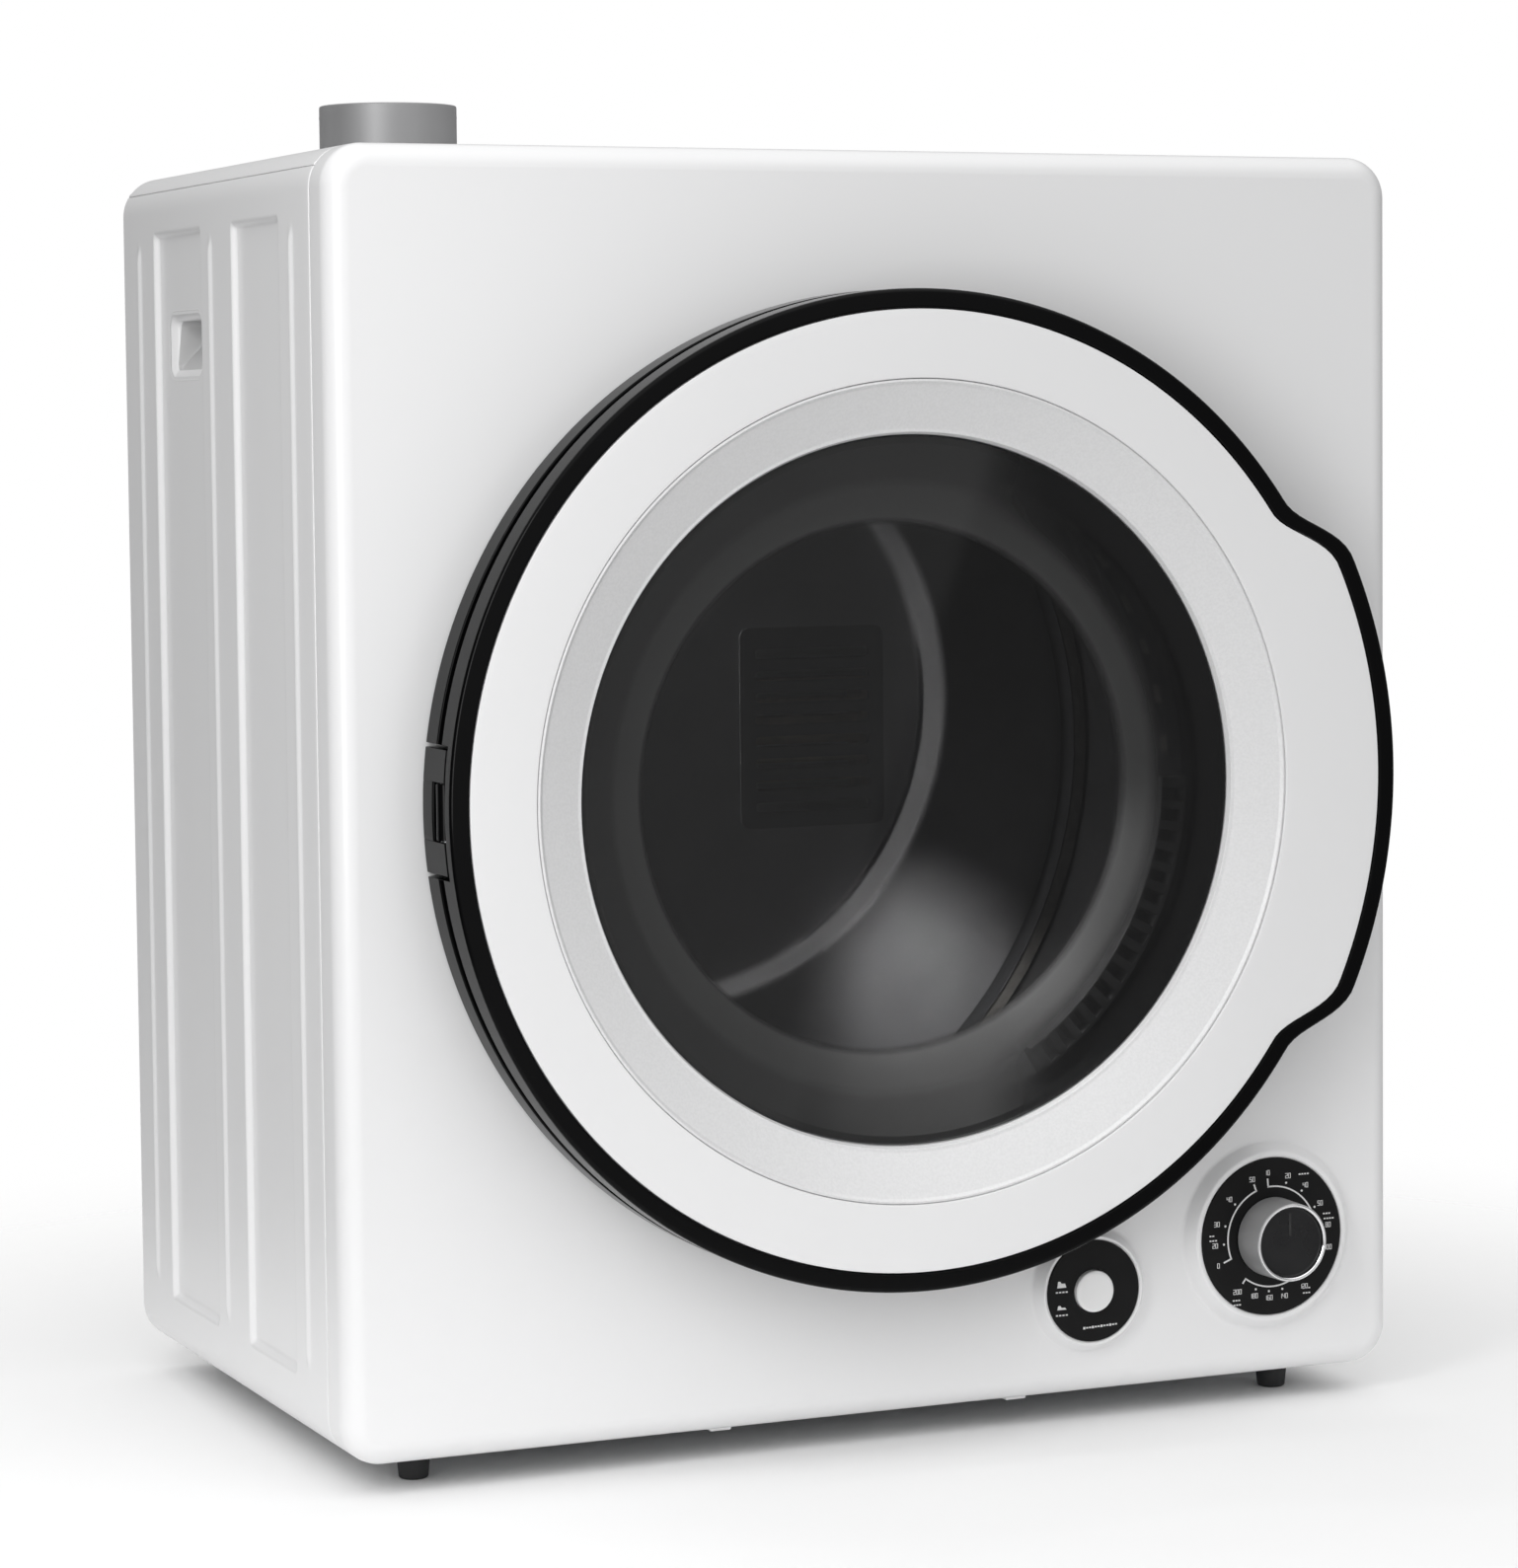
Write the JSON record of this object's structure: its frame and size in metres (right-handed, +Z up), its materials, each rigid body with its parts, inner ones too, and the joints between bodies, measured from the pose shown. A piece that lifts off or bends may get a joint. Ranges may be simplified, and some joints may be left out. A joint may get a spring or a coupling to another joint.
{
  "type": "clothes dryer",
  "caption": "Compact front-loading vented clothes dryer: white cabinet, round side-hinged glass door with handle bulge, timer knob, heat button and top exhaust pipe.",
  "frame": {"origin": "on the floor, under the centre of the bounding box", "axes": "+X to the right as the user faces the door, +Y from the door into the machine, +Z up"},
  "size_m": [0.61, 0.411, 0.723],
  "materials": {
    "white_enamel": "smooth gloss enamel",
    "dark_plastic": "fine matte",
    "zinc_steel": "galvanised, satin",
    "black_rubber": "matte",
    "bulkhead_grey": "satin grey",
    "felt": "felt",
    "exhaust_metal": "satin galvanised",
    "heater_ceramic": "fired ceramic",
    "motor_paint": "semi-matte paint",
    "dial_black": "printed satin black",
    "switch_plastic": "moulded",
    "rim_black": "piano black gloss",
    "trim_white": "satin white",
    "cone_silver": "fine silver paint",
    "window_glass": "tinted, polished",
    "bowl_glass": "clear, polished",
    "frame_plastic": "moulded",
    "knob_silver": "satin, bright rim",
    "button_white": "gloss"
  },
  "bodies": {
    "cabinet": {"front_panel": "white_enamel", "left_side_panel": "white_enamel", "right_side_panel": "white_enamel", "top_panel": "white_enamel", "rear_panel": "white_enamel", "rear_vent_grille": "dark_plastic", "rear_screw_1": "zinc_steel", "rear_screw_2": "zinc_steel", "rear_screw_3": "zinc_steel", "rear_screw_4": "zinc_steel", "cord_grommet": "black_rubber", "base_pan": "zinc_steel", "foot_front_left": "black_rubber", "foot_front_right": "black_rubber", "foot_rear_left": "black_rubber", "foot_rear_right": "black_rubber", "left_grip_cup": "white_enamel", "right_grip_cup": "white_enamel", "front_bulkhead": "bulkhead_grey", "front_air_grille": "bulkhead_grey", "front_felt_seal": "felt", "rear_felt_seal": "felt", "rear_bulkhead": "bulkhead_grey", "hot_air_grille": "zinc_steel", "fan_housing": "bulkhead_grey", "duct_boot": "zinc_steel", "exhaust_pipe": "exhaust_metal", "heater_box": "zinc_steel", "heater_element": "heater_ceramic", "motor_housing": "motor_paint", "motor_bracket": "dark_plastic", "drum_belt": "black_rubber", "fan_belt": "black_rubber", "hinge_bracket": "dark_plastic", "hinge_pin": "zinc_steel", "latch_catch": "dark_plastic", "dial_plate": "dial_black", "button_plate": "dial_black", "timer_body": "switch_plastic", "heat_switch_body": "switch_plastic"},
    "door": {"door_rim": "rim_black", "door_trim_ring": "trim_white", "door_cone_ring": "cone_silver", "door_window": "window_glass", "door_glass_bowl": "bowl_glass", "door_inner_frame": "frame_plastic", "door_seal": "black_rubber", "hinge_arm": "zinc_steel", "latch_striker": "zinc_steel"},
    "drum": {"drum_shell": "zinc_steel", "drum_lifter_1": "bulkhead_grey", "drum_lifter_2": "bulkhead_grey", "drum_lifter_3": "bulkhead_grey"},
    "motor_rotor": {"motor_shaft": "zinc_steel"},
    "fan": {"fan_impeller": "dark_plastic"},
    "roller_left": {"drum_roller_left": "black_rubber"},
    "roller_right": {"drum_roller_right": "black_rubber"},
    "knob": {"timer_knob": "knob_silver"},
    "button": {"heat_button": "button_white"},
    "filter": {"lint_filter": "dark_plastic"}
  },
  "joints": [
    {"name": "door_hinge", "type": "hinge", "parent": "cabinet", "child": "door", "pos_m": [-0.2545, -0.1845, 0.35], "axis": [0, 0, -1], "range_deg": [0, 130]},
    {"name": "drum_spin", "type": "hinge", "parent": "cabinet", "child": "drum", "pos_m": [0, 0.0005, 0.35], "axis": [0, 1, 0], "continuous": true},
    {"name": "motor_spin", "type": "hinge", "parent": "cabinet", "child": "motor_rotor", "pos_m": [-0.2, 0.0375, 0.087], "axis": [0, 1, 0], "continuous": true},
    {"name": "fan_spin", "type": "hinge", "parent": "cabinet", "child": "fan", "pos_m": [-0.09, 0.1675, 0.367], "axis": [0, 1, 0], "continuous": true},
    {"name": "roller_left_spin", "type": "hinge", "parent": "cabinet", "child": "roller_left", "pos_m": [-0.16226, 0.1075, 0.11826], "axis": [0, 1, 0], "continuous": true},
    {"name": "roller_right_spin", "type": "hinge", "parent": "cabinet", "child": "roller_right", "pos_m": [0.16226, 0.1075, 0.11826], "axis": [0, 1, 0], "continuous": true},
    {"name": "timer_turn", "type": "hinge", "parent": "cabinet", "child": "knob", "pos_m": [0.225, -0.1805, 0.095], "axis": [0, 1, 0], "range_deg": [0, 330]},
    {"name": "button_press", "type": "slide", "parent": "cabinet", "child": "button", "axis": [0, 1, 0], "range_m": [0, 0.003], "stiffness_N_per_m": 500},
    {"name": "filter_pull", "type": "slide", "parent": "cabinet", "child": "filter", "axis": [0, -1, 0], "range_m": [0, 0.06]}
  ],
  "couplings": [
    {"joint": "motor_spin", "follows": "drum_spin", "ratio": 23.636},
    {"joint": "fan_spin", "follows": "drum_spin", "ratio": 11.03},
    {"joint": "roller_left_spin", "follows": "drum_spin", "ratio": -11.818},
    {"joint": "roller_right_spin", "follows": "drum_spin", "ratio": -11.818}
  ]
}
